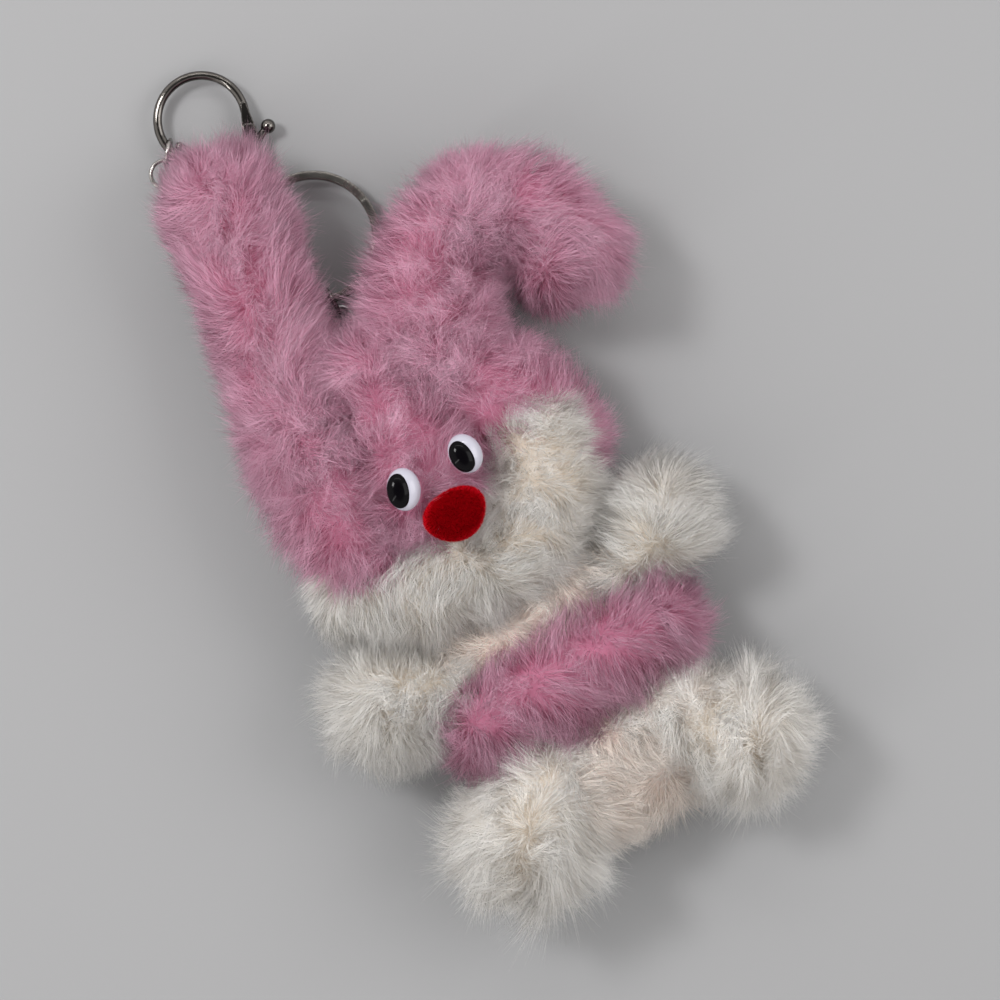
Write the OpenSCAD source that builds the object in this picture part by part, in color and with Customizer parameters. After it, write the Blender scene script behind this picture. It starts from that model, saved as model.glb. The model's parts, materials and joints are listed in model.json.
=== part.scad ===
// Plush bunny keychain: a bendable doll of wire-cored fur stems, lying on its back,
// hung on a flat split ring and a swivel clasp.
// +X is across the doll, +Y runs from the feet to the clasp, +Z comes out of its face.

/* [Key hardware] */
// Outer diameter of the split ring
ring_od = 30; // [29:0.5:31]
// Width of the split ring's flat band
band_w = 1.9; // [1.6:0.1:2]
// Thickness of one coil of the band
coil_t = 1.2; // [1:0.05:1.25]
// Outer diameter of the clasp's round hook
hook_od = 21.6; // [21:0.2:22.6]
// Diameter of the hook's round bar
hook_bar = 2; // [1.8:0.1:2]
// Outer diameter of the jump rings
jump_od = 7; // [6.9:0.1:7.2]
// Wire diameter of the jump rings
jump_wire = 1; // [0.9:0.05:1]
// Diameter of the swivel barrel
barrel_d = 4.6; // [4.4:0.1:5]
// Turn of the clasp in the plane that it lies in, in degrees
clasp_turn = -20; // [-22:1:-18]

/* [Doll] */
// Radius of the skull's main ball of fur
skull_r = 21; // [20:0.5:22]
// Radius of the ears' dense fur
ear_r = 11; // [9:0.5:11]
// Radius of the left arm's puff
arm_r = 11; // [9:0.5:12]
// Radius of the left leg's puff
leg_r = 13; // [11:0.5:13.5]
// Diameter of the twisted wire inside each stem
core_wire = 1.6; // [1.2:0.1:2]
// Gap left around each root that bends
root_gap = 0.4; // [0.3:0.05:0.6]

/* [Face] */
// Width of one eye
eye_w = 7.3; // [6:0.1:8]
// Height of one eye
eye_h = 9.5; // [8:0.1:11]
// Distance between the two eyes' centres
eye_span = 15.2; // [14:0.2:17]
// Width of the nose along its top edge
nose_w = 14.2; // [12:0.2:16]
// Height of the nose
nose_h = 10.7; // [9:0.1:12]

/* [Hidden] */
$fn = 48;

pink = "palevioletred";
cream = "antiquewhite";
metal = "slategray";
wire_grey = "gray";

// Dense fur as balls, each [x, y, z, radius], measured from the nose and from the table.
SKULL = [[-1, 14, skull_r, skull_r], [-15, 13, 19, 18], [11, 15, 19, 17], [0, 27, 16, 14]];
MUZZLE = [[-24, -2, 18, 9], [-17, -11, 20, 10.5], [-3, -14, 22, 11],
    [10, -11, 23, 11], [21, -1, 21, 11], [27, 10, 18, 9]];
CHEST = [[-5, -34, 14, 9], [10, -33, 14, 9]];
BELT = [[-9.6, -45, 15, 11.8], [5, -45, 16, 12.8], [19, -43.5, 15, 11]];
HIPS = [2.5, -61.5, 13, 7.5];
CROTCH = [4.5, -71, 9, 6];

// Each bending stem runs from the root that it bends about to its end, each [x, y, z].
neck_root = [3, -27, 14];
neck_r = 8;
left_ear_root = [-22, 34, 19.5];
left_ear_middle = [-16, 62, 19.5];
left_ear_end = [-10, 80.5, 19.5];
left_ear_end_r = ear_r - 2.5;
left_ear_gap = root_gap + 0.2;
right_ear_root = [12, 34, 18];
right_ear_middle = [22, 52, 18];
right_ear_bend = [36, 54, 18];
right_ear_end = [48, 37, 18];
left_arm_root = [-24, -33, 12];
left_arm_end = [-36, -30, arm_r];
right_arm_root = [26, -30, 12];
right_arm_r = arm_r - 0.5;
right_arm_end = [39, -25, right_arm_r];
arm_root_r = 6.5;
left_leg_root = [-14, -61, 13];
left_leg_end = [-25, -71, leg_r];
right_leg_root = [19, -64, 12];
right_leg_r = leg_r - 1;
right_leg_end = [31, -76, right_leg_r];
leg_root_r = 8;
bar_less = 1;
knee_swell = 0.1;
knee_less = 0.3;
skull_coil_r = 10;

// The hardware lies flat, with its centre plane at the height of an upright jump ring.
plane_z = jump_od / 2;
slack = 0.25;
ring_r = ring_od / 2;
ring_centre = [3.2, 68.6, plane_z];
coil_gap = 0.1;
ramp_angle = 24;
ramp_steps = 6;
ramp_lap = 0.3;
ring_step_at = 8;
jump_r = (jump_od - jump_wire) / 2;
band_y = ring_centre.y - ring_r + band_w / 2;
head_ring_centre = [0, band_y - slack, plane_z];
loop_r = 2;
loop_y = head_ring_centre.y - jump_r + jump_wire + slack - loop_r;
loop_legs = [loop_r - 1, 33, 16];

// The clasp in its own plane: u across, v along the shank, from the centre of the hook.
clasp_centre = [-5, 104, plane_z];
hook_r = (hook_od - hook_bar) / 2;
hook_end = 220;
knuckle = 0.2;
shank_u = hook_r + 0.1;
shank_top = 2;
shank_w = 2.8;
shank_t = 4;
taper_t = hook_bar + 0.3;
pivot = [shank_u + 0.3, -7.8];
slot_v = [-10.4, -4.6];
slot_t = 2.5;
shank_base = -11.4;
gate_bar = 1.6;
gate_gap = 0.12;
gate_sag = 2.2;
gate_end_r = hook_r - (hook_bar + gate_bar) / 2 - knuckle - gate_gap;
gate_end = gate_end_r * [cos(hook_end), sin(hook_end)];
gate_chord = norm(gate_end - pivot);
gate_curve_r = pow(gate_chord, 2) / (8 * gate_sag) + gate_sag / 2;
gate_half_angle = asin(gate_chord / 2 / gate_curve_r);
gate_heading = atan2(gate_end.y - pivot.y, gate_end.x - pivot.x);
hub_r = 1.5;
hub_low = -1.1;
hub_high = 0.45;
pin_r = 0.5;
pin_play = 0.06;
pin_head_r = 0.85;
pin_head_t = 0.25;
knob_at = [4.1, 3.7];
knob_stem_r = 0.9;
knob_r = 1.65;
spring_wire_r = 0.16;
spring_r = 0.9;
spring_at = 0.68;
barrel_len = 4.8;
post_r = 0.9;
post_play = 0.05;
post_head_r = 1.4;
post_head_t = 1;
chamber_play = 0.15;
barrel_wall = 1.4;
eye_wire = 1;
eye_r = (jump_od - eye_wire) / 2;
barrel_end = shank_base - barrel_len;
eye_v = barrel_end - 0.4 - jump_od / 2;

// Two spare jump rings: an upright one round the hook, and an open one that it holds.
link_at = 212;
link_dir = [-0.343, -0.939];
link_base = hook_r * [cos(link_at), sin(link_at)];
link_wire = 0.9;
link_r = (jump_od - 0.2 - link_wire) / 2;
link_out = 0.85;
spare_out = 5.7;
spare_r = (jump_od - link_wire) / 2;
spare_gap_from = 35;
spare_gap = 50;

// The face.
eye_z = 42;
eye_bulge = 2.6;
eye_y = 9.7;
eye_mid = 0.7;
left_eye_turn = -21;
pupil_w = 5.2;
pupil_h = 8.2;
pupil_shift = -1.3;
pupil_rise = 0.9;
shank_len = 7;
face_post_r = 1.2;
nose_z = 41.5;
nose_t = 6;
nose_corner = 4;

// The row's origin: the middle of the outline, on the table.
x_low = left_arm_end.x - arm_r;
x_high = right_ear_end.x + ear_r - 0.5;
y_low = right_leg_end.y - right_leg_r;
y_high = clasp_centre.y + hook_od / 2;
origin = [-(x_low + x_high) / 2, -(y_low + y_high) / 2, 0];

module placed(paint) {
    color(paint) translate(origin) children();
}

module in_clasp(paint) {
    placed(paint) translate(clasp_centre) rotate(clasp_turn) children();
}

module balls(list, grow = 0) {
    for (b = list) translate([b.x, b.y, b.z]) sphere(r = b[3] + grow);
}

module ball(at, r) {
    translate(at) sphere(r = r);
}

module bar(a, b, r) {
    reach = b - a;
    translate(a) rotate([0, acos(reach.z / norm(reach)), atan2(reach.y, reach.x)])
        cylinder(h = norm(reach), r = r);
}

// A stem of fur: a ball at each end and a straight part between, turned about its own axis.
module stem(root, root_r, end, end_r) {
    reach = end - root;
    translate(root) rotate([0, acos(reach.z / norm(reach)), atan2(reach.y, reach.x)])
        rotate_extrude() intersection() {
            union() {
                circle(r = root_r);
                translate([0, norm(reach)]) circle(r = end_r);
                square([min(root_r, end_r) - bar_less, norm(reach)]);
            }
            translate([0, -root_r]) square([root_r + end_r, norm(reach) + root_r + end_r]);
        }
}

module core(root, end) {
    bar(root, end, core_wire / 2);
}

module wire_ring(r, wire_d, cut = 0) {
    rotate(cut / 2) rotate_extrude(angle = 360 - cut) translate([r, 0]) circle(d = wire_d);
}

// ---- clasp ----

module hook_bar_arc() {
    rotate_extrude(angle = hook_end) translate([hook_r, 0]) circle(d = hook_bar);
    translate(hook_r * [cos(hook_end), sin(hook_end)]) sphere(d = hook_bar + knuckle);
}

module shank() {
    translate([0, 0, -shank_t / 2]) linear_extrude(shank_t) polygon([
        [shank_u - shank_w / 2, slot_v.y], [shank_u - shank_w / 2, shank_base],
        [shank_u + shank_w / 2 + 0.4, shank_base], [shank_u + shank_w / 2 + 0.4, slot_v.y]]);
    translate([0, 0, -taper_t / 2]) linear_extrude(taper_t) polygon([
        [hook_r - 0.6, shank_top], [shank_u - shank_w / 2, slot_v.y],
        [shank_u + shank_w / 2 + 0.4, slot_v.y], [hook_r + 0.6, shank_top]]);
    translate([0, 0, -shank_t / 2]) linear_extrude(shank_t) polygon([
        [shank_u - shank_w / 2, slot_v.y], [shank_u + shank_w / 2 + 0.4, slot_v.y],
        [shank_u + 1, slot_v.y + 1.6], [shank_u - 1, slot_v.y + 1.6]]);
}

module clasp_hook() {
    in_clasp(metal) difference() {
        union() {
            hook_bar_arc();
            shank();
            translate([shank_u, shank_base, 0]) rotate([90, 0, 0]) cylinder(h = barrel_len, d = barrel_d);
        }
        translate([shank_u - 3, slot_v.x, -slot_t / 2])
            cube([6, slot_v.y - slot_v.x, slot_t]);
        translate([pivot.x, pivot.y, -shank_t]) cylinder(h = 2 * shank_t, r = pin_r);
        translate([shank_u, barrel_end + barrel_wall, 0]) rotate([-90, 0, 0])
            cylinder(h = post_head_t + 1, r = post_head_r + chamber_play);
        translate([shank_u, barrel_end + 2, 0]) rotate([90, 0, 0])
            cylinder(h = 3, r = post_r + post_play);
    }
}

module gate_arm() {
    translate([gate_end.x, gate_end.y, 0]) sphere(d = gate_bar + knuckle);
    translate([pivot.x, pivot.y, 0]) rotate(gate_heading) translate([gate_chord / 2, 0, 0])
        translate([0, -gate_curve_r * cos(gate_half_angle), 0]) rotate(90 - gate_half_angle)
        rotate_extrude(angle = 2 * gate_half_angle) translate([gate_curve_r, 0])
        circle(d = gate_bar);
}

module thumb_knob() {
    tip = pivot + knob_at;
    bar([pivot.x, pivot.y, 0], [tip.x, tip.y, 0], knob_stem_r);
    ball([tip.x, tip.y, 0], knob_r);
}

module clasp_gate() {
    in_clasp(metal) difference() {
        union() {
            translate([pivot.x, pivot.y, hub_low]) cylinder(h = hub_high - hub_low, r = hub_r);
            gate_arm();
            thumb_knob();
        }
        translate([pivot.x, pivot.y, -shank_t]) cylinder(h = 2 * shank_t, r = pin_r + pin_play);
        translate([pivot.x, pivot.y, hub_high]) cylinder(h = shank_t, r = hub_r);
    }
}

module clasp_gate_pin() {
    in_clasp(metal) translate([pivot.x, pivot.y, -shank_t / 2]) {
        cylinder(h = shank_t, r = pin_r);
        translate([0, 0, -pin_head_t]) cylinder(h = pin_head_t, r = pin_head_r);
        translate([0, 0, shank_t]) cylinder(h = pin_head_t, r = pin_head_r);
    }
}

module clasp_gate_spring() {
    in_clasp(wire_grey) translate([pivot.x, pivot.y, spring_at]) {
        wire_ring(spring_r, 2 * spring_wire_r);
        translate([0, 0, 1.9 * spring_wire_r]) wire_ring(spring_r, 2 * spring_wire_r);
        translate([spring_r, 0, 1.9 * spring_wire_r]) rotate([-90, 0, 0])
            cylinder(h = 2.2, r = spring_wire_r);
    }
}

module swivel_eye() {
    in_clasp(metal) translate([shank_u, 0, 0]) {
        translate([0, eye_v, 0]) rotate([0, 90, 0]) wire_ring(eye_r, eye_wire);
        translate([0, barrel_end + barrel_wall + 0.1, 0]) rotate([90, 0, 0])
            cylinder(h = barrel_wall + 0.5 + eye_wire / 2, r = post_r);
        translate([0, barrel_end + barrel_wall + 0.1 + post_head_t, 0]) rotate([90, 0, 0])
            cylinder(h = post_head_t, r = post_head_r);
    }
}

// ---- rings ----

module band_profile() {
    intersection() {
        square([band_w, coil_t], center = true);
        circle(d = norm([band_w, coil_t]) - 0.16);
    }
}

module coil(from, sweep, z) {
    translate([0, 0, z]) rotate(from) rotate_extrude(angle = sweep)
        translate([ring_r - band_w / 2, 0]) band_profile();
}

// Two flat turns, joined by a stepped crossing in the gap between their ends.
module split_ring() {
    rise = coil_t + coil_gap;
    step = ramp_angle / ramp_steps;
    placed(metal) translate(ring_centre) rotate(ring_step_at) {
        coil(ramp_angle, 360 - ramp_angle, -rise / 2);
        coil(ramp_angle, 360 - ramp_angle, rise / 2);
        for (k = [1:ramp_steps - 1])
            coil((k - 0.5) * step - ramp_lap, step + 2 * ramp_lap, rise * (k / ramp_steps - 0.5));
        coil(-ramp_lap, step / 2 + 2 * ramp_lap, -rise / 2);
        coil(ramp_angle - step / 2 - ramp_lap, step / 2 + 2 * ramp_lap, rise / 2);
    }
}

module head_jump_ring() {
    placed(metal) translate(head_ring_centre) rotate([0, 90, 0]) rotate(90)
        wire_ring(jump_r, jump_wire, 1);
}

module hanging_loop() {
    placed(wire_grey) {
        translate([0, loop_y, plane_z]) rotate_extrude(angle = 180) translate([loop_r, 0])
            circle(d = jump_wire);
        for (side = [-1, 1]) {
            bar([side * loop_r, loop_y, plane_z], [side * loop_legs.x, loop_legs.y, loop_legs.z],
                jump_wire / 2);
            ball([side * loop_r, loop_y, plane_z], jump_wire / 2);
        }
    }
}

module spare_link_ring() {
    heading = atan2(link_dir.y, link_dir.x);
    at = link_base + link_out * link_dir;
    in_clasp(metal) translate([at.x, at.y, 0]) rotate([90, 0, heading])
        wire_ring(link_r, link_wire);
}

module spare_open_ring() {
    at = link_base + spare_out * link_dir;
    in_clasp(metal) translate([at.x, at.y, 0]) rotate(spare_gap_from)
        wire_ring(spare_r, link_wire, spare_gap);
}

// ---- head ----

module skull_wire() {
    placed(wire_grey) translate([SKULL[0].x, SKULL[0].y, SKULL[0].z])
        wire_ring(skull_coil_r, core_wire);
}

module head_fur() {
    placed(pink) difference() {
        balls(SKULL);
        ball(left_ear_root, ear_r + left_ear_gap);
        ball(right_ear_root, ear_r - 1 + root_gap);
        ball(neck_root, neck_r + root_gap);
    }
}

module muzzle_fur() {
    placed(cream) difference() {
        balls(MUZZLE);
        balls(SKULL, 0.1);
        ball(neck_root, neck_r + root_gap);
    }
}

module oval(w, h, t) {
    scale([w / 2, h / 2, t]) sphere(r = 1, $fn = 36);
}

module eye_shell(x, turn = 0) {
    placed("white") translate([x, eye_y, eye_z]) rotate(turn) {
        oval(eye_w, eye_h, eye_bulge);
        translate([0, 0, -shank_len]) cylinder(h = shank_len, r = face_post_r);
    }
}

module eye_pupil(x, turn = 0) {
    placed("black") translate([x + pupil_shift, eye_y, eye_z + pupil_rise]) rotate(turn)
        oval(pupil_w, pupil_h, eye_bulge - pupil_rise + 0.25);
}

module left_eye_shell() {
    eye_shell(eye_mid - eye_span / 2, left_eye_turn);
}

module left_eye_pupil() {
    eye_pupil(eye_mid - eye_span / 2, left_eye_turn);
}

module right_eye_shell() {
    eye_shell(eye_mid + eye_span / 2);
}

module right_eye_pupil() {
    eye_pupil(eye_mid + eye_span / 2);
}

module nose() {
    side = nose_w / 2 - nose_corner;
    top = nose_h / 2 - nose_corner;
    placed("crimson") translate([0, 0, nose_z]) {
        hull() for (p = [[-side, top], [side, top], [0, -top - 0.2]])
            translate([p.x, p.y, 0]) scale([1, 1, nose_t / 2 / nose_corner])
            sphere(r = nose_corner, $fn = 24);
        translate([0, 0, -shank_len]) cylinder(h = shank_len, r = face_post_r);
    }
}

// ---- ears ----

module left_ear_fur() {
    placed(pink) {
        stem(left_ear_root, ear_r, left_ear_middle, ear_r);
        stem(left_ear_middle, ear_r - knee_less, left_ear_end, left_ear_end_r);
    }
}

module left_ear_wire() {
    placed(wire_grey) {
        core(left_ear_root, left_ear_middle);
        ball(left_ear_middle, core_wire / 2 + knee_swell);
        core(left_ear_middle, left_ear_end);
    }
}

module right_ear_fur() {
    placed(pink) difference() {
        union() {
            stem(right_ear_root, ear_r - 1, right_ear_middle, ear_r);
            stem(right_ear_middle, ear_r - knee_less, right_ear_bend, ear_r - 1);
        }
        ball(right_ear_bend, ear_r - 0.5 + root_gap);
    }
}

module right_ear_wire() {
    placed(wire_grey) core(right_ear_root, right_ear_middle);
}

module right_ear_tip_fur() {
    placed(pink) stem(right_ear_bend, ear_r - 0.5, right_ear_end, ear_r - 0.5);
}

module right_ear_tip_wire() {
    placed(wire_grey) core(right_ear_bend, right_ear_end);
}

// ---- torso ----

module neck_wrap() {
    placed(cream) ball(neck_root, neck_r);
}

module wound(ball_and_r, grow = 0) {
    ball([ball_and_r.x, ball_and_r.y, ball_and_r.z], ball_and_r[3] + grow);
}

module chest_fur() {
    placed(cream) difference() {
        balls(CHEST);
        ball(neck_root, neck_r + 0.1);
    }
}

module belt_fur() {
    placed(pink) difference() {
        balls(BELT);
        balls(CHEST, 0.1);
        ball(right_arm_root, arm_root_r + root_gap);
        ball(left_leg_root, leg_root_r + root_gap);
    }
}

module hips_fur() {
    placed(cream) difference() {
        wound(HIPS);
        balls(BELT, 0.1);
    }
}

module crotch_wrap() {
    placed(cream) difference() {
        wound(CROTCH);
        wound(HIPS, 0.1);
    }
}

module spine_wire() {
    placed(wire_grey) core(neck_root, [CROTCH.x, CROTCH.y, CROTCH.z]);
}

// ---- arms and legs ----

module left_arm_fur() {
    placed(cream) stem(left_arm_root, arm_root_r, left_arm_end, arm_r);
}

module left_arm_wire() {
    placed(wire_grey) core(left_arm_root, left_arm_end);
}

module right_arm_fur() {
    placed(cream) stem(right_arm_root, arm_root_r, right_arm_end, right_arm_r);
}

module right_arm_wire() {
    placed(wire_grey) core(right_arm_root, right_arm_end);
}

module left_leg_fur() {
    placed(cream) stem(left_leg_root, leg_root_r, left_leg_end, leg_r);
}

module left_leg_wire() {
    placed(wire_grey) core(left_leg_root, left_leg_end);
}

module right_leg_fur() {
    placed(cream) stem(right_leg_root, leg_root_r, right_leg_end, right_leg_r);
}

module right_leg_wire() {
    placed(wire_grey) core(right_leg_root, right_leg_end);
}

clasp_hook();
clasp_gate();
clasp_gate_pin();
clasp_gate_spring();
swivel_eye();
split_ring();
head_jump_ring();
spare_link_ring();
spare_open_ring();
hanging_loop();
skull_wire();
head_fur();
muzzle_fur();
left_eye_shell();
left_eye_pupil();
right_eye_shell();
right_eye_pupil();
nose();
left_ear_fur();
left_ear_wire();
right_ear_fur();
right_ear_wire();
right_ear_tip_fur();
right_ear_tip_wire();
neck_wrap();
chest_fur();
belt_fur();
hips_fur();
crotch_wrap();
spine_wire();
left_arm_fur();
left_arm_wire();
right_arm_fur();
right_arm_wire();
left_leg_fur();
left_leg_wire();
right_leg_fur();
right_leg_wire();
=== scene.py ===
"""The looks of the plush keychain: a bunny of fur stems, with its eyes, nose, rings and clasp."""
import json
import math

import bpy
import numpy as np
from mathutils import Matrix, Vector, kdtree

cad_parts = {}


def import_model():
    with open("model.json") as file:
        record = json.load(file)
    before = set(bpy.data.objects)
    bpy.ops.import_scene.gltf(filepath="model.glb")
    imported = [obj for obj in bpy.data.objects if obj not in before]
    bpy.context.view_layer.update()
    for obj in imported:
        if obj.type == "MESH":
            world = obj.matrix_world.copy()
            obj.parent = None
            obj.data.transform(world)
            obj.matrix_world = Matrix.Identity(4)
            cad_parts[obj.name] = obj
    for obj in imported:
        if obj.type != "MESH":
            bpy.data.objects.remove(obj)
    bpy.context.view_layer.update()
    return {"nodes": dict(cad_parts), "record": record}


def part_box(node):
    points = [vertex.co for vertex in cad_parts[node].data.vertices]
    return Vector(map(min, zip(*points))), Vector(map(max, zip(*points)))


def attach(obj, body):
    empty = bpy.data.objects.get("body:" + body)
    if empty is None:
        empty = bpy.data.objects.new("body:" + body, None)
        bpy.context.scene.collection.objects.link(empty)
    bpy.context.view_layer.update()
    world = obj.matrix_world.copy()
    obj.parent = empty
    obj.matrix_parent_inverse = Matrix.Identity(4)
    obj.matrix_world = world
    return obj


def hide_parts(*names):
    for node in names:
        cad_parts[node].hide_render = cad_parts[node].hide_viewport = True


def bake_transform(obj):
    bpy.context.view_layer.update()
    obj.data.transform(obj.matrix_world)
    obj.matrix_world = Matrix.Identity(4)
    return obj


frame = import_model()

MM = 0.001
SEED = 11
nodes = frame["nodes"]

# Every place is in millimetres from the nose's centre, and from the table in Z.
nose_low, nose_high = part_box("nose")
NOSE = np.array([(nose_low.x + nose_high.x) / 2, (nose_low.y + nose_high.y) / 2 + 0.1 * MM, 0.0])


def place(points):
    """Millimetres from the nose and the table, as metres in the row's frame."""
    return np.asarray(points, float) * MM + NOSE


# ---------------------------------------------------------------- stems of fur

# One entry per stem: its body, its paint, the number of its fibres in thousands, the way that they
# are combed, how light its paint is (0.5 if it isn't given), and its centreline as (x, y, z, radius)
# points. The radius is that of the whole pile.
FUR = {
    "left_ear": dict(body="left_ear", paint="pink_fur", fibres=76, comb=(-0.02, 0.22, 0.0),
                     stem=[(-21, 25, 19, 15.5), (-18.5, 39, 19, 15.5), (-15.8, 51, 19, 15),
                           (-13.6, 63, 19, 15), (-12.2, 74, 18.5, 15.5), (-10.5, 83, 18.5, 15.5)]),
    "right_ear": dict(body="right_ear", paint="pink_fur", fibres=60, comb=(0.0, 0.15, 0.0),
                      stem=[(12, 30, 18.5, 18), (16.5, 38, 19, 19), (21.5, 46, 19, 17.5),
                            (29, 53, 18.5, 16), (37, 54, 18, 15)]),
    "right_ear_tip": dict(body="right_ear_tip", paint="pink_fur", fibres=39, comb=(0.1, -0.2, 0.0),
                          stem=[(37, 54, 19, 15.5), (45, 49.5, 18.5, 16), (48.5, 38, 18, 16)]),
    "head_left": dict(body="head", paint="pink_fur", fibres=39, comb=(-0.1, -0.25, 0.0),
                      stem=[(-19, 30, 20, 17), (-20, 15, 21, 18), (-20, 2, 19, 16.5)]),
    "head_middle": dict(body="head", paint="pink_fur", fibres=39, comb=(0.0, 0.1, 0.0),
                        stem=[(-1, 32, 20, 17), (-2, 18, 22, 19), (-4, 7, 23, 18)]),
    "head_right": dict(body="head", paint="pink_fur", fibres=39, comb=(0.2, 0.1, 0.0),
                       stem=[(13, 30, 18, 16), (19, 18, 20, 18), (26, 10, 15, 15),
                             (27, 3, 13, 14)]),
    "muzzle_left": dict(body="head", paint="white_fur", fibres=39, comb=(-0.2, -0.7, 0.0),
                        tone=0.38,
                        stem=[(-27, -4.5, 17, 13.5), (-16, -10, 21, 14.5), (-3, -12, 23, 14)]),
    "muzzle_right": dict(body="head", paint="white_fur", fibres=39, comb=(0.35, -0.2, 0.0),
                         tone=0.38,
                         stem=[(4, -13, 23, 14), (14, -9.5, 24, 14.5), (20.5, -2, 24, 14.5),
                               (23, 5, 22, 13.5)]),
    # Neck, chest and hips are painted lighter: painted light that makes up for the shade between the belt
    # and the beard.
    "neck": dict(body="torso", paint="cream_fur", fibres=12, comb=(0.2, -0.5, 0.0), tone=0.7,
                 stem=[(-4, -23, 16, 10), (11, -23, 17, 10)]),
    "chest": dict(body="torso", paint="cream_fur", fibres=30, comb=(0.3, -0.5, 0.0), tone=0.8,
                  stem=[(-16, -29, 15, 10), (4, -28, 18, 10.5), (22, -27, 15, 10)]),
    # The belt's tone is low: painted shade from the head.
    "belt": dict(body="torso", paint="pink_fur", fibres=39, comb=(0.2, -0.3, 0.0), tone=0.3,
                 stem=[(-18, -43.5, 17, 14), (3, -43, 20, 15), (25.5, -43, 17, 13.5)]),
    "hips": dict(body="torso", paint="cream_fur", fibres=39, comb=(0.3, -0.6, 0.0), tone=0.65,
                 stem=[(-9, -64, 15, 12), (4, -63.5, 16.5, 12.5), (18, -62, 15, 12.5)]),
    "crotch": dict(body="torso", paint="cream_fur", fibres=34, comb=(0.2, -0.6, 0.1), tone=0.7,
                   stem=[(-5, -69, 14, 13), (11, -69, 14, 13.5)]),
    "left_arm": dict(body="left_arm", paint="white_fur", fibres=39, comb=(-0.1, 0.0, 0.0),
                     tone=0.36, stem=[(-21, -32, 14, 13), (-33, -30, 17, 17)]),
    "right_arm": dict(body="right_arm", paint="white_fur", fibres=36, comb=(0.1, 0.0, 0.0),
                      tone=0.36, stem=[(24, -28, 14, 12.5), (36.5, -24, 16, 15.5)]),
    "left_leg": dict(body="left_leg", paint="white_fur", fibres=39, comb=(-0.05, -0.1, 0.0),
                     stem=[(-11, -60, 15, 15), (-22, -69.5, 19, 19.5)]),
    "right_leg": dict(body="right_leg", paint="white_fur", fibres=39, comb=(0.05, -0.1, 0.0),
                      tone=0.55, stem=[(17, -62, 14, 15), (29, -73.5, 17, 17.5)]),
}
# The tone of paint that is neither lightened nor darkened, and how much tufts and fibres differ.
USUAL_TONE, TUFT_TONE, FIBRE_TONE = 0.5, 0.07, 0.06

MOST_FIBRES = 39000
TUFT_OF = 28

# The dense backing: its share of a stem's radius, then the share of the pile's ramp and the tone that
# it is painted with, which give it the roots' painted shade and a little more, as shade under the fibres.
BACKING = 0.56
BACKING_SHADE_SHARE, BACKING_SHADE_TONE = 0.1, 0.45

# A fibre is a ribbon with a pointed tip: its width, the share of it that is left at each step but the
# last, how far along the fibre each step is, and the points that it has in all.
FIBRE_WIDTH = 0.1
TAPER = np.array([1.0, 0.85, 0.55])
STEPS = np.array([0.0, 0.36, 0.7, 1.0])
FIBRE_POINTS = 7
# Its normals turn from straight out by this share of its lean, and it stops this far above the table.
NORMAL_LEAN = 0.25
FLOOR_GAP, FLOOR_SPREAD = 0.25, 0.15

# How a fibre leans, for each millimetre of its length: with the swirl around it, with its tuft and by
# itself. Then the share of that lean that is taken away along the way out, and the most of the rest.
SWIRL, TUFT_LEAN, FIBRE_LEAN = 0.62, 0.2, 0.22
FLATTEN = 0.75
MOST_LEAN = 1.2

# Roots lie just inside the backing. A fibre is between the shortest, usual and longest share of the
# pile's depth, and the pile swells and shrinks by SWELL from place to place, within its limits.
ROOT_DEPTH = 0.96
LENGTHS = (0.55, 1.0, 1.3)
SWELL, SWELL_SIZE, SWELL_LIMITS = 0.1, 18.0, (0.75, 1.2)

# Tips draw together by up to MOST_GATHER of the way, and fibres bow by about BOW millimetres.
MOST_GATHER = 0.22
BOW = 0.42


def unit(v):
    return v / np.maximum(np.linalg.norm(v, axis=-1, keepdims=True), 1e-9)


class Stem:
    """A stem's centreline, eased through its points, with a frame carried along it without twist."""

    def __init__(self, points, per_span=8):
        p = np.asarray(points, float)
        ends = np.vstack([2 * p[0] - p[1], p, 2 * p[-1] - p[-2]])
        t = np.linspace(0, 1, per_span, endpoint=False)[:, None]
        spans = []
        for a, b, c, d in zip(ends, ends[1:], ends[2:], ends[3:]):
            spans.append(0.5 * (2 * b + (c - a) * t + (2 * a - 5 * b + 4 * c - d) * t ** 2
                                + (3 * b - a - 3 * c + d) * t ** 3))
        curve = np.vstack(spans + [p[-1:]])
        self.at, self.r = curve[:, :3], curve[:, 3]
        self.along = unit(np.gradient(self.at, axis=0))
        side = unit(np.cross(self.along[0], [0.0, 0.0, 1.0]))
        sides = []
        for tangent in self.along:
            side = unit(side - tangent * np.dot(side, tangent))
            sides.append(side)
        self.side = np.array(sides)
        self.up = np.cross(self.along, self.side)
        self.step = np.linalg.norm(np.gradient(self.at, axis=0), axis=1)

    def scatter(self, rng, count):
        """Random centres, outward directions and radii, even over the stem's skin and round ends."""
        skin = self.step * self.r
        cap = self.r[[0, -1]] ** 2
        weights = np.concatenate([skin, cap])
        index = rng.choice(len(weights), count, p=weights / weights.sum())
        on_end = index >= len(skin)
        row = np.where(index == len(skin), 0, np.minimum(index, len(skin) - 1))
        turn = rng.uniform(0, 2 * np.pi, count)[:, None]
        out = np.cos(turn) * self.side[row] + np.sin(turn) * self.up[row]
        shift = rng.uniform(-0.5, 0.5, count) * self.step[row] * ~on_end
        centre = self.at[row] + self.along[row] * shift[:, None]
        ball = unit(rng.normal(size=(count, 3)))
        outward = np.where(row == 0, -1.0, 1.0)[:, None] * self.along[row]
        dot = (ball * outward).sum(1, keepdims=True)
        ball = np.where(dot < 0, ball - 2 * dot * outward, ball)
        return centre, np.where(on_end[:, None], ball, out), self.r[row]


stems = {name: Stem(entry["stem"]) for name, entry in FUR.items()}


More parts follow.
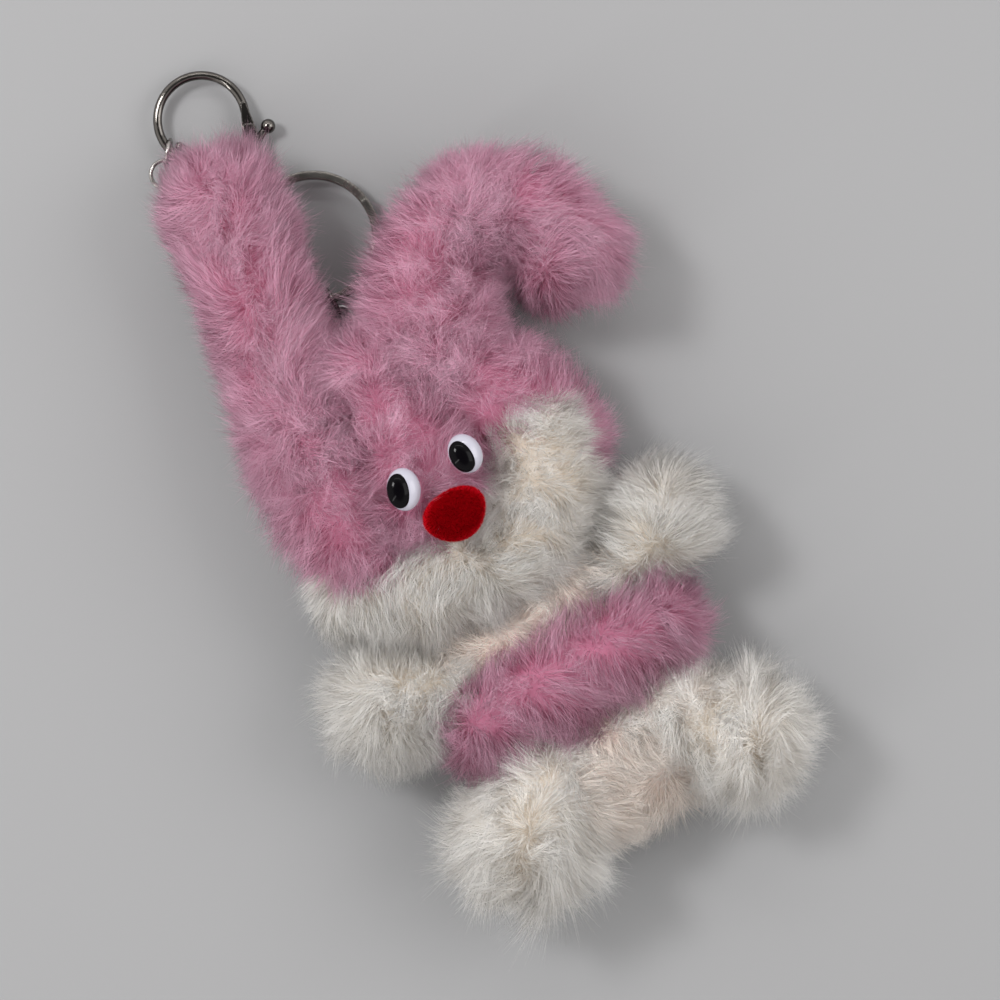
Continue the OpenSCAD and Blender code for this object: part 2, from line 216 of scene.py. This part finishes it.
def flow(points, rng, size=13.0, waves=8):
    """A smooth random field of directions, which makes the pile swirl."""
    total = np.zeros_like(points)
    for _ in range(waves):
        wave = rng.normal(size=3) * 2 * np.pi / size / 1.7
        total += rng.normal(size=3) * np.sin(points @ wave + rng.uniform(0, 2 * np.pi))[:, None]
    return total / math.sqrt(waves)


# Where the face's parts stand: centre, half width and half height, in millimetres. Fibres above
# FACE_LEVEL are moved off them, and only those that start ROOTED below it start under them, apart
# from the outermost ones.
FACE_LEVEL, ROOTED, OUTERMOST = 30, 6, 0.85
FACE = []
for part, trim in (("left_eye_shell", 0.1), ("right_eye_shell", 0.1), ("nose", 0.7)):
    low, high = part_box(part)
    middle = (np.array((low + high) / 2) - NOSE)[:2] / MM
    FACE.append((middle, (high - low).x / 2 / MM - trim, (high - low).y / 2 / MM - trim))


def clear_of_face(path):
    """Moves fibres on the front of the face outwards, so that the eyes and the nose stand clear."""
    for middle, half_w, half_h in FACE:
        offset = (path[..., :2] - middle) / [half_w, half_h]
        reach = np.linalg.norm(offset, axis=-1)
        inside = (reach < 1.0) & (path[..., 2] > FACE_LEVEL)
        pushed = middle + offset / np.maximum(reach, 1e-6)[..., None] * [half_w, half_h]
        path[..., :2] = np.where(inside[..., None], pushed, path[..., :2])


def out_of_neighbours(name, root, path):
    """Drops fibres that start inside the backing of a stem that moves with their own, and lifts the
    rest out of it. Stems that move apart keep theirs, so that no bare end shows."""
    keep = np.ones(len(root), bool)
    low, high = path.min((0, 1)), path.max((0, 1))
    for other, stem in stems.items():
        if other == name or FUR[other]["body"] != FUR[name]["body"]:
            continue
        for at, r in zip(stem.at, stem.r * BACKING):
            if np.any(at + r < low) or np.any(at - r > high):
                continue
            keep &= np.linalg.norm(root - at, axis=1) > r
            away = path - at
            gap = np.linalg.norm(away, axis=2)
            inside = np.maximum(r - gap, 0) / np.maximum(gap, 1e-6)
            path += away * inside[..., None]
    return keep


def grow(name, entry):
    """The fibres of one stem: their points, their soft normals, their tones, and the random draws."""
    rng = np.random.default_rng(SEED + sum(map(ord, name)))
    count = int(1000 * entry["fibres"] * (1))
    centre, out, r = stems[name].scatter(rng, count)
    skin = centre + out * r[:, None]

    # fibres near one another share a lean and draw together at their tips
    tufts = count // TUFT_OF
    leads = rng.choice(count, tufts, replace=False)
    tree = kdtree.KDTree(tufts)
    for i, lead in enumerate(leads):
        tree.insert(skin[lead], i)
    tree.balance()
    tuft = np.array([tree.find(point)[1] for point in skin])
    lean = np.array(entry["comb"]) + SWIRL * flow(skin, rng)
    lean += rng.normal(0, TUFT_LEAN, (tufts, 3))[tuft] + rng.normal(0, FIBRE_LEAN, (count, 3))
    lean -= FLATTEN * out * (lean * out).sum(1, keepdims=True)
    lean /= np.maximum(np.linalg.norm(lean, axis=1, keepdims=True) / MOST_LEAN, 1)
    gather = (skin[leads[tuft]] - skin) * rng.uniform(0.0, MOST_GATHER, tufts)[tuft][:, None]

    root = centre + out * (r * BACKING * ROOT_DEPTH)[:, None]
    swell = 1 + SWELL * flow(skin, rng, SWELL_SIZE)[:, 0]
    length = r * (1 - BACKING) * rng.triangular(*LENGTHS, count) * np.clip(swell, *SWELL_LIMITS)
    t = STEPS[None, :, None]
    path = (root[:, None] + length[:, None, None] * (out[:, None] * t + lean[:, None] * t ** 2)
            + gather[:, None] * t ** 1.6)
    path += rng.normal(0, BOW, (count, 1, 3)) * np.sin(np.pi * t)

    keep = out_of_neighbours(name, root, path)
    if entry["body"] == "head":
        for middle, half_w, half_h in FACE:
            offset = (root[:, :2] - middle) / [half_w, half_h]
            reach = np.linalg.norm(offset, axis=1)
            keep &= (reach > OUTERMOST) | (root[:, 2] < FACE_LEVEL - ROOTED)
        clear_of_face(path)
    path[..., 2] = np.maximum(path[..., 2], FLOOR_GAP + FLOOR_SPREAD * rng.random(path.shape[:2]))
    tone = entry.get("tone", USUAL_TONE) + TUFT_TONE * rng.normal(size=tufts)[tuft]
    tone += rng.normal(0, FIBRE_TONE, count)
    soft = unit(out + NORMAL_LEAN * lean)
    return path[keep], soft[keep], tone[keep], rng


def backing(stem, around=36):
    """The dense backing of a stem, as a closed tube with round ends: points, faces and normals."""
    caps = np.radians([20, 42, 65, 88])
    rows = [(0, -math.sin(angle), math.cos(angle)) for angle in caps[::-1]]
    rows += [(i, 0.0, 1.0) for i in range(len(stem.r))]
    rows += [(len(stem.r) - 1, math.sin(angle), math.cos(angle)) for angle in caps]
    turn = np.linspace(0, 2 * np.pi, around, endpoint=False)[:, None]
    verts, normals = [], []
    for i, lift, spread in rows:
        ring = np.cos(turn) * stem.side[i] + np.sin(turn) * stem.up[i]
        normal = spread * ring + lift * stem.along[i]
        verts.append(stem.at[i] + stem.r[i] * BACKING * normal)
        normals.append(normal)
    faces = []
    for j in range(len(rows) - 1):
        for k in range(around):
            n = (k + 1) % around
            faces.append((j * around + k, j * around + n, (j + 1) * around + n, (j + 1) * around + k))
    faces.append(tuple(range(around))[::-1])
    faces.append(tuple((len(rows) - 1) * around + k for k in range(around)))
    return np.vstack(verts), faces, np.vstack(normals)


def raw_mesh(title, points, loops, sizes):
    """A mesh from its points, the points that its faces use in turn, and how many each face uses."""
    mesh = bpy.data.meshes.new(title)
    mesh.vertices.add(len(points))
    mesh.vertices.foreach_set("co", place(points).astype(np.float32).ravel())
    mesh.loops.add(int(sizes.sum()))
    mesh.loops.foreach_set("vertex_index", loops.astype(np.int32))
    mesh.polygons.add(len(sizes))
    starts = np.concatenate([[0], np.cumsum(sizes)[:-1]])
    mesh.polygons.foreach_set("loop_start", starts.astype(np.int32))
    mesh.update(calc_edges=True)
    return mesh


def note_on_points(mesh, name, values):
    """Keeps a number or a direction for each point of a mesh."""
    kind, field = ("FLOAT", "value") if values.ndim == 1 else ("FLOAT_VECTOR", "vector")
    layer = mesh.attributes.new(name, kind, "POINT")
    layer.data.foreach_set(field, values.astype(np.float32).ravel())


def add_piece(title, mesh, paint):
    """Puts a mesh in the scene as a piece, with its material."""
    mesh.materials.append(materials[paint])
    piece = bpy.data.objects.new(title, mesh)
    bpy.context.scene.collection.objects.link(piece)
    return piece


def fur_meshes(name, entry):
    """A stem's fur, in as many pieces as its fibres need, each with the whole backing."""
    path, soft, tone, rng = grow(name, entry)
    parts = math.ceil(entry["fibres"] * 1000 / MOST_FIBRES)
    if parts == 1:
        return [fur_mesh(name, entry, path, soft, tone, rng, name)]
    share = rng.integers(parts, size=len(path))
    return [fur_mesh(f"{name}_{k + 1}", entry, path[share == k], soft[share == k],
                     tone[share == k], rng, name) for k in range(parts)]


def fur_mesh(title, entry, path, soft, tone, rng, name):
    """The backing of a stem and its fibres, each a ribbon of two quads and a pointed tip."""
    count = len(path)
    across = unit(np.cross(path[:, -1] - path[:, 0], rng.normal(size=(count, 3))))
    half = FIBRE_WIDTH / 2 * TAPER[None, :, None]
    left = path[:, :3] - across[:, None] * half
    right = path[:, :3] + across[:, None] * half
    ribbons = np.stack([left[:, 0], right[:, 0], left[:, 1], right[:, 1],
                        left[:, 2], right[:, 2], path[:, 3]], axis=1)
    pattern = np.array([0, 1, 3, 2, 2, 3, 5, 4, 4, 5, 6])
    core_verts, core_faces, core_normals = backing(stems[name])
    start = len(core_verts)
    ribbon_loops = (pattern + start + FIBRE_POINTS * np.arange(count)[:, None]).ravel()
    core_loops = np.concatenate([np.array(face) for face in core_faces])
    sizes = np.concatenate([[len(face) for face in core_faces], np.tile([4, 4, 3], count)])

    mesh = raw_mesh(title, np.vstack([core_verts, ribbons.reshape(-1, 3)]),
                    np.concatenate([core_loops, ribbon_loops]), sizes)
    mesh.polygons.foreach_set("use_smooth", np.ones(len(sizes), bool))
    steps = np.tile(STEPS[[0, 0, 1, 1, 2, 2, 3]], count)
    tones = np.repeat(tone, FIBRE_POINTS)
    normals = np.repeat(soft, FIBRE_POINTS, axis=0)
    note_on_points(mesh, "pile_share", np.concatenate([np.full(start, BACKING_SHADE_SHARE), steps]))
    note_on_points(mesh, "pile_tone", np.concatenate([np.full(start, BACKING_SHADE_TONE), tones]))
    note_on_points(mesh, "custom_normal", np.vstack([core_normals, normals]))
    mesh.uv_layers.new(name="OFBake")
    mesh.uv_layers[0].data.foreach_set("uv", bake_layout(len(core_loops), count))
    return add_piece(title, mesh, entry["paint"])


def bake_layout(core_loops, count):
    """A map with a cell of its own for every fibre, above a strip for the backing."""
    strip = 0.1
    across = math.ceil(math.sqrt(count))
    column, row = np.arange(count) % across, np.arange(count) // across
    low_quad = [(0.2, 0.1), (0.8, 0.1), (0.8, 0.4), (0.2, 0.4)]
    high_quad = [(0.2, 0.4), (0.8, 0.4), (0.8, 0.7), (0.2, 0.7)]
    tip = [(0.2, 0.7), (0.8, 0.7), (0.5, 0.95)]
    cell = np.array(low_quad + high_quad + tip)
    u = (column[:, None] + cell[None, :, 0]) / across
    v = strip + (1 - strip) * (row[:, None] + cell[None, :, 1]) / across
    square = np.array([(0.01, 0.01), (0.02, 0.01), (0.02, 0.02), (0.01, 0.02)])
    core = np.tile(square, (core_loops // 4 + 1, 1))[:core_loops]
    return np.concatenate([core, np.stack([u, v], axis=2).reshape(-1, 2)]).astype(np.float32).ravel()


# ---------------------------------------------------------------- materials

def new_material(name):
    material = bpy.data.materials.new(name)
    material.use_nodes = True
    tree = material.node_tree
    return material, tree, tree.nodes["Principled BSDF"]


def add_node(tree, kind, inputs=None, **settings):
    """A shader node, with its settings and the values of its inputs by name or number."""
    node = tree.nodes.new("ShaderNode" + kind)
    for key, value in settings.items():
        setattr(node, key, value)
    set_inputs(node, inputs or {})
    return node


def set_inputs(node, inputs):
    for key, value in inputs.items():
        node.inputs[key].default_value = value


def linear(r, g, b):
    """An sRGB colour from 0 to 255 as linear light."""
    return tuple(((c / 255 + 0.055) / 1.055) ** 2.4 if c > 10 else c / 255 / 12.92
                 for c in (r, g, b)) + (1.0,)


# The share of the light that fur lets past to what lies under it, and how blotchy its paint is.
AIRY = 0.5
BLOTCH_SCALE, BLOTCH = 110, 0.35


def fur_material(name, painted_light_stops, soft=0.5, gloss=0.4):
    """Fur: a ramp from root to tip, darker towards the root as painted shade deep in the pile; tufts and
    fibres a little lighter or darker, and light through it.
    """
    material, tree, shader = new_material(name)
    link = tree.links.new
    share = add_node(tree, "Attribute", attribute_name="pile_share")
    tone = add_node(tree, "Attribute", attribute_name="pile_tone")
    ramp = add_node(tree, "ValToRGB")
    ramp.color_ramp.elements[0].position, ramp.color_ramp.elements[0].color = painted_light_stops[0]
    ramp.color_ramp.elements[1].position, ramp.color_ramp.elements[1].color = painted_light_stops[-1]
    for position, colour in painted_light_stops[1:-1]:
        ramp.color_ramp.elements.new(position).color = colour
    at = add_node(tree, "TexCoord")
    noise = add_node(tree, "TexNoise", {"Scale": BLOTCH_SCALE, "Detail": 3})
    blotch = add_node(tree, "Math", {1: BLOTCH}, operation="MULTIPLY_ADD")
    value = add_node(tree, "MapRange", {"From Min": 0.2, "From Max": 1.1, "To Min": 0.72, "To Max": 1.18})
    bright = add_node(tree, "HueSaturation")
    link(at.outputs["Object"], noise.inputs["Vector"])
    link(noise.outputs["Fac"], blotch.inputs[0])
    link(tone.outputs["Fac"], blotch.inputs[2])
    link(blotch.outputs[0], value.inputs["Value"])
    link(share.outputs["Fac"], ramp.inputs["Fac"])
    link(ramp.outputs["Color"], bright.inputs["Color"])
    link(value.outputs["Result"], bright.inputs["Value"])
    link(bright.outputs["Color"], shader.inputs["Base Color"])
    set_inputs(shader, {"Roughness": 0.7, "Specular IOR Level": gloss})

    # light comes through a fibre, and some of it passes between fibres
    through = add_node(tree, "BsdfTranslucent")
    mix = add_node(tree, "MixShader", {0: soft})
    link(bright.outputs["Color"], through.inputs["Color"])
    link(shader.outputs[0], mix.inputs[1])
    link(through.outputs[0], mix.inputs[2])
    light = add_node(tree, "LightPath")
    part = add_node(tree, "Math", {1: AIRY}, operation="MULTIPLY")
    clear = add_node(tree, "BsdfTransparent")
    airy_mix = add_node(tree, "MixShader")
    link(light.outputs["Is Shadow Ray"], part.inputs[0])
    link(part.outputs[0], airy_mix.inputs[0])
    link(mix.outputs[0], airy_mix.inputs[1])
    link(clear.outputs[0], airy_mix.inputs[2])
    link(airy_mix.outputs[0], tree.nodes["Material Output"].inputs["Surface"])
    return material


def clouded(tree, shader, at, colour, other, **noise):
    """A base colour that drifts between two, and the noise that drives it."""
    cloud = add_node(tree, "TexNoise", noise)
    colours = add_node(tree, "Mix", {"A": colour, "B": other}, data_type="RGBA")
    tree.links.new(at.outputs["Object"], cloud.inputs["Vector"])
    tree.links.new(cloud.outputs["Fac"], colours.inputs["Factor"])
    tree.links.new(colours.outputs["Result"], shader.inputs["Base Color"])
    return cloud


def metal_material(name, light, dark, rough, edge=0.35):
    """Polished plate: cloudy tarnish, fine scratches, uneven gloss, and edges rounded by edge mm."""
    material, tree, shader = new_material(name)
    link = tree.links.new
    at = add_node(tree, "TexCoord")
    cloud = clouded(tree, shader, at, dark, light, Scale=260, Detail=5)
    gloss = add_node(tree, "MapRange", {"To Min": rough * 0.6, "To Max": rough * 1.7})
    scratches = add_node(tree, "TexNoise", {"Scale": 900, "Detail": 4})
    edges = add_node(tree, "Bevel", {"Radius": edge * MM})
    bump = add_node(tree, "Bump", {"Strength": 0.12, "Distance": 0.08 * MM})
    link(cloud.outputs["Fac"], gloss.inputs["Value"])
    link(gloss.outputs["Result"], shader.inputs["Roughness"])
    link(at.outputs["Object"], scratches.inputs["Vector"])
    link(scratches.outputs["Fac"], bump.inputs["Height"])
    link(edges.outputs["Normal"], bump.inputs["Normal"])
    link(bump.outputs["Normal"], shader.inputs["Normal"])
    set_inputs(shader, {"Metallic": 1.0})
    return material


def plastic_material(name, colour, other, rough=0.12, coat=0.2, gloss=0.3):
    """Gloss moulded plastic, with a faint cloud in its colour and a soft orange-peel skin."""
    material, tree, shader = new_material(name)
    cloud = clouded(tree, shader, add_node(tree, "TexCoord"), colour, other, Scale=350)
    bump = add_node(tree, "Bump", {"Strength": 0.05, "Distance": 0.05 * MM})
    tree.links.new(cloud.outputs["Fac"], bump.inputs["Height"])
    tree.links.new(bump.outputs["Normal"], shader.inputs["Normal"])
    set_inputs(shader, {"Roughness": rough, "Coat Weight": coat, "Coat Roughness": 0.04,
                        "Specular IOR Level": gloss})
    return material


materials = {
    # Each fur ramp runs from a darker root to a paler tip: painted shade deep in the pile.
    "pink_fur": fur_material("pink_fur", [
        (0.0, linear(220, 136, 168)), (0.35, linear(226, 160, 187)),
        (0.7, linear(231, 180, 203)), (1.0, linear(236, 200, 217))]),
    "white_fur": fur_material("white_fur", [
        (0.0, linear(249, 237, 220)), (0.35, linear(250, 244, 236)),
        (0.7, linear(251, 248, 244)), (1.0, linear(252, 251, 250))]),
    "cream_fur": fur_material("cream_fur", [
        (0.0, linear(250, 233, 223)), (0.35, linear(251, 238, 229)),
        (0.7, linear(252, 243, 235)), (1.0, linear(252, 246, 241))]),
    "dark_nickel": metal_material("dark_nickel", linear(114, 110, 106), linear(72, 69, 66), 0.08),
    "flat_band": metal_material("flat_band", linear(156, 151, 146), linear(104, 101, 97), 0.2,
                                edge=0.9),
    "bright_nickel": metal_material("bright_nickel", linear(164, 160, 156), linear(118, 115, 112), 0.2),
    "spring_steel": metal_material("spring_steel", linear(180, 180, 182), linear(130, 130, 132), 0.25),
    "core_wire": metal_material("core_wire", linear(176, 176, 176), linear(120, 120, 122), 0.3),
    "white_plastic": plastic_material("white_plastic", linear(164, 162, 172), linear(152, 150, 162)),
    "black_plastic": plastic_material("black_plastic", linear(4, 3, 5), linear(7, 6, 8),
                                      rough=0.08, coat=0.0, gloss=0.06),
    # The flock's ramp runs from a dark middle to a lighter rim and tips: a painted velvet sheen.
    "red_flock": fur_material("red_flock", [
        (0.0, linear(140, 2, 10)), (0.5, linear(164, 4, 14)), (1.0, linear(226, 20, 36))],
        soft=0.1, gloss=0.0),
}

# Each CAD piece takes its slot's material, apart from the split ring, whose flat band is rounder.
for row in frame["record"]["subparts"]:
    node = nodes[row["node"]]
    node.data.materials.clear()
    band = row["node"] == "split_ring"
    node.data.materials.append(materials["flat_band" if band else row["material_slot"]])

# ---------------------------------------------------------------- fur pieces

# The CAD solid that each stem's fur stands for.
REPLACES = {
    "left_ear": "left_ear_fur", "right_ear": "right_ear_fur",
    "right_ear_tip": "right_ear_tip_fur", "head_middle": "head_fur",
    "muzzle_left": "muzzle_fur", "neck": "neck_wrap", "chest": "chest_fur",
    "belt": "belt_fur", "hips": "hips_fur", "crotch": "crotch_wrap",
    "left_arm": "left_arm_fur", "right_arm": "right_arm_fur",
    "left_leg": "left_leg_fur", "right_leg": "right_leg_fur",
}
# Fur that crosses a joint: the body above, its own body, and two points, which this script doesn't read.
# Its pieces are put on no body and are not bent.
BENDS = {
    "left_ear": ("head", "left_ear", (-22, 27, 19), (-18, 43, 19)),
    "right_ear": ("head", "right_ear", (8, 27, 18), (16, 43, 18)),
    "right_ear_tip": ("right_ear", "right_ear_tip", (32, 60, 18), (41, 47, 18)),
    "left_arm": ("torso", "left_arm", (-18, -34, 12), (-30, -31, 12)),
    "right_arm": ("torso", "right_arm", (20, -31, 12), (33, -27, 12)),
    "left_leg": ("torso", "left_leg", (-9, -57, 13), (-20, -66, 13)),
    "right_leg": ("torso", "right_leg", (13, -59, 12), (26, -71, 12)),
}

for name, entry in FUR.items():
    pieces = fur_meshes(name, entry)
    for piece in pieces:
        if name in BENDS:
            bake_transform(piece)
        else:
            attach(piece, entry["body"])
    if name in REPLACES:
        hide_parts(REPLACES[name])

# ---------------------------------------------------------------- face

def solid(title, rows, paint, body, stands_for):
    """A closed smooth piece from rings of points, the first and the last ring drawn to a point."""
    rows = np.array(rows)
    count, around = rows.shape[:2]
    mesh = bpy.data.meshes.new(title)
    faces = [(j * around + k, j * around + (k + 1) % around, (j + 1) * around + (k + 1) % around,
              (j + 1) * around + k) for j in range(count - 1) for k in range(around)]
    faces += [tuple(range(around))[::-1], tuple((count - 1) * around + k for k in range(around))]
    mesh.from_pydata(place(rows.reshape(-1, 3)).tolist(), [], faces)
    mesh.polygons.foreach_set("use_smooth", np.ones(len(faces), bool))
    mesh.update()
    piece = add_piece(title, mesh, paint)
    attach(piece, body)
    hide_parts(stands_for)


def oval_ring(centre, half_w, half_h, z, turn=0.0, around=64):
    """A ring of points on an oval, turned in the plane of the face."""
    t = np.linspace(0, 2 * np.pi, around, endpoint=False)
    x, y = half_w * np.cos(t), half_h * np.sin(t)
    c, s = math.cos(turn), math.sin(turn)
    return np.stack([centre[0] + c * x - s * y, centre[1] + s * x + c * y, np.full(around, z)], axis=1)


# Each eye: the oval's width and height, its turn in degrees, and the pupil's size and shift.
EYES = {
    "left": dict(size=(7.3, 9.3), turn=-21.0, pupil=(5.1, 7.5), shift=(-1.05, 0.2)),
    "right": dict(size=(7.1, 8.8), turn=0.0, pupil=(5.1, 7.2), shift=(-0.9, -0.25)),
}
EYE_DOME = 2.6
PUPIL_DOME = 1.5


def dome(centre, size, turn, base, height, power, rings=16):
    """Rings of a dome over an oval, up from its rim."""
    rows = []
    for angle in np.radians(np.linspace(0, 88, rings)):
        spread = math.cos(angle) ** power
        rows.append(oval_ring(centre, size[0] / 2 * spread, size[1] / 2 * spread,
                              base + height * math.sin(angle), turn))
    return rows


def eye(side, size, turn, pupil, shift):
    """A gloss white oval with a rolled rim, and a black oval bead that stands proud of it."""
    low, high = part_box(side + "_eye_shell")
    centre = (np.array((low + high) / 2) - NOSE)[:2] / MM
    base, turn = high.z / MM - EYE_DOME, math.radians(turn)
    foot = [oval_ring(centre, size[0] / 2 * k, size[1] / 2 * k, base - depth, turn)
            for k, depth in ((0.01, 1.0), (0.84, 1.0), (0.96, 0.5))]
    solid(side + "_eye_white", foot + dome(centre, size, turn, base, EYE_DOME, 0.85),
          "white_plastic", "head", side + "_eye_shell")
    at = centre + shift
    foot = [oval_ring(at, 0.02, 0.02, base + 0.6, turn)]
    solid(side + "_eye_black", foot + dome(at, pupil, turn, base + EYE_DOME - 0.9, PUPIL_DOME, 0.9),
          "black_plastic", "head", side + "_eye_pupil")


for side, shape in EYES.items():
    eye(side, **shape)


# The nose: its width and height, its dome, how far its middle lies below the centre, and how much of a
# triangle it is.
NOSE_W, NOSE_H, NOSE_DOME, NOSE_DROP, NOSE_LOBES = 13.5, 10.5, 2.2, 0.4, 0.045
# The flock: its fibres, their half width, and the share of the nose's radius where its painted sheen
# begins to lighten it towards the rim.
FLOCK, FLOCK_HALF_WIDTH, SHEEN_START = 30000, 0.035, 0.55


def nose_ring(spread, z, around=96):
    """A rounded triangle, wide at the top."""
    t = np.linspace(0, 2 * np.pi, around, endpoint=False)
    r = spread * (1 + NOSE_LOBES * np.cos(3 * t - np.pi / 2))
    return np.stack([r * NOSE_W / 2 * np.cos(t), r * NOSE_H / 2 * np.sin(t) - NOSE_DROP,
                     np.full(around, z)], axis=1)


def flocked_nose():
    """A flocked button: a flat dome with a fat rim, under a coat of very short fibres."""
    top = nose_high.z / MM
    base = top - NOSE_DOME - 1.4
    rows = [nose_ring(0.01, base), nose_ring(0.86, base), nose_ring(0.96, base + 0.4)]
    for spread in (1 - np.linspace(0, 0.99, 24) ** 1.8):
        rows.append(nose_ring(spread, base + 1.2 + NOSE_DOME * (1 - spread ** 3.2) ** 0.5))
    rows = np.array(rows)
    solid("nose_body", rows, "red_flock", "head", "nose")
    rng = np.random.default_rng(SEED)
    count = int(FLOCK * (1))
    a, b, c = rows[2:-1, :], rows[3:, :], np.roll(rows[2:-1], -1, axis=1)
    areas = np.linalg.norm(np.cross(b - a, c - a), axis=2)
    pick = rng.choice(areas.size, count, p=areas.ravel() / areas.sum())
    u, v = rng.random((2, count, 1))
    flat = [part.reshape(-1, 3)[pick] for part in (a, b, c)]
    root = flat[0] + u * (flat[1] - flat[0]) + v * (flat[2] - flat[0])
    out = unit(np.cross(flat[2] - flat[0], flat[1] - flat[0]))
    out *= np.where((out * (root - [0, -NOSE_DROP, base])).sum(1, keepdims=True) < 0, -1, 1)
    tip = root + out * rng.uniform(0.3, 0.5, (count, 1)) + rng.normal(0, 0.12, (count, 3))
    across = unit(np.cross(out, rng.normal(size=(count, 3)))) * FLOCK_HALF_WIDTH
    verts = np.stack([root - across, root + across, tip], axis=1).reshape(-1, 3)
    mesh = raw_mesh("nose_flock", verts, np.arange(3 * count), np.full(count, 3))
    # The flock is painted lighter towards the rim and at each fibre's tip: painted velvet sheen.
    rim = np.hypot(root[:, 0] / NOSE_W, (root[:, 1] + NOSE_DROP) / NOSE_H) * 2
    rim = np.clip((rim - SHEEN_START) / (1 - SHEEN_START), 0, 1) ** 1.5
    note_on_points(mesh, "pile_share", (rim[:, None] + [-0.1, -0.1, 0.1]).clip(0, 1).ravel())
    note_on_points(mesh, "pile_tone", np.repeat(rng.normal(0.5, 0.1, count), 3))
    note_on_points(mesh, "custom_normal", np.repeat(out, 3, axis=0))
    piece = add_piece("nose_flock", mesh, "red_flock")
    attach(piece, "head")


flocked_nose()

# ---------------------------------------------------------------- stage, light and camera

def floor():
    """A plain matt floor, far wider than the view."""
    half = 4.0
    mesh = bpy.data.meshes.new("floor")
    mesh.from_pydata([(-half, -half, 0), (half, -half, 0), (half, half, 0), (-half, half, 0)],
                     [], [(0, 1, 2, 3)])
    ground = bpy.data.objects.new("floor", mesh)
    bpy.context.scene.collection.objects.link(ground)
    material, tree, shader = new_material("floor")
    set_inputs(shader, {"Base Color": linear(131, 131, 132), "Roughness": 0.9})
    mesh.materials.append(material)


def area_light(name, at, aim, size, power):
    """A rectangular lamp at a place in metres, turned to face another."""
    data = bpy.data.lights.new(name, "AREA")
    data.shape = "RECTANGLE"
    data.size, data.size_y = size
    data.energy = power
    lamp = bpy.data.objects.new(name, data)
    lamp.location = at
    lamp.rotation_euler = (Vector(aim) - Vector(at)).to_track_quat("-Z", "Y").to_euler()
    bpy.context.scene.collection.objects.link(lamp)


def camera():
    """Straight above, turned so that the doll's head is up and to the left. The picture is
    frame_width wide at that level above the table."""
    roll, lens, frame_width, level = math.radians(-30.26), 150, 220 * MM, 14 * MM
    data = bpy.data.cameras.new("camera")
    data.lens, data.sensor_width, data.clip_end = lens, 36, 20
    rig = bpy.data.objects.new("camera", data)
    aim = place((9.7, -2.6, 0))
    rig.location = (aim[0], aim[1], level + frame_width * lens / data.sensor_width)
    rig.rotation_euler = (0, 0, roll)
    bpy.context.scene.collection.objects.link(rig)
    bpy.context.scene.camera = rig


def world():
    """A round studio: bright walls, and a dark patch overhead that polished faces can mirror."""
    sky = bpy.data.worlds.new("studio")
    sky.use_nodes = True
    tree = sky.node_tree
    ground = tree.nodes["Background"]
    at = add_node(tree, "TexCoord")
    split = add_node(tree, "SeparateXYZ")
    ramp = add_node(tree, "ValToRGB")
    steps = ramp.color_ramp.elements
    steps[0].position, steps[0].color = 0.0, (0.8, 0.8, 0.8, 1)
    steps[1].position, steps[1].color = 1.0, (0.1, 0.1, 0.1, 1)
    for position, level in ((0.35, 1.0), (0.8, 0.9), (0.93, 0.16)):
        steps.new(position).color = (level, level * 0.988, level * 0.975, 1)
    tree.links.new(at.outputs["Generated"], split.inputs[0])
    tree.links.new(split.outputs["Z"], ramp.inputs["Fac"])
    tree.links.new(ramp.outputs["Color"], ground.inputs["Color"])
    ground.inputs["Strength"].default_value = 1.35
    bpy.context.scene.world = sky


bpy.context.scene.view_settings.view_transform = "Standard"
floor()
world()
middle = (0, 0, 20 * MM)
area_light("key", (-0.35, 0.55, 0.9), middle, (0.24, 0.24), 8)
area_light("fill", (0.7, -0.2, 0.7), middle, (0.6, 0.6), 4)
area_light("strip_left", (-0.9, -0.1, 0.8), middle, (0.06, 1.2), 3)
area_light("strip_right", (0.45, 0.9, 1.0), middle, (1.2, 0.06), 3)
camera()
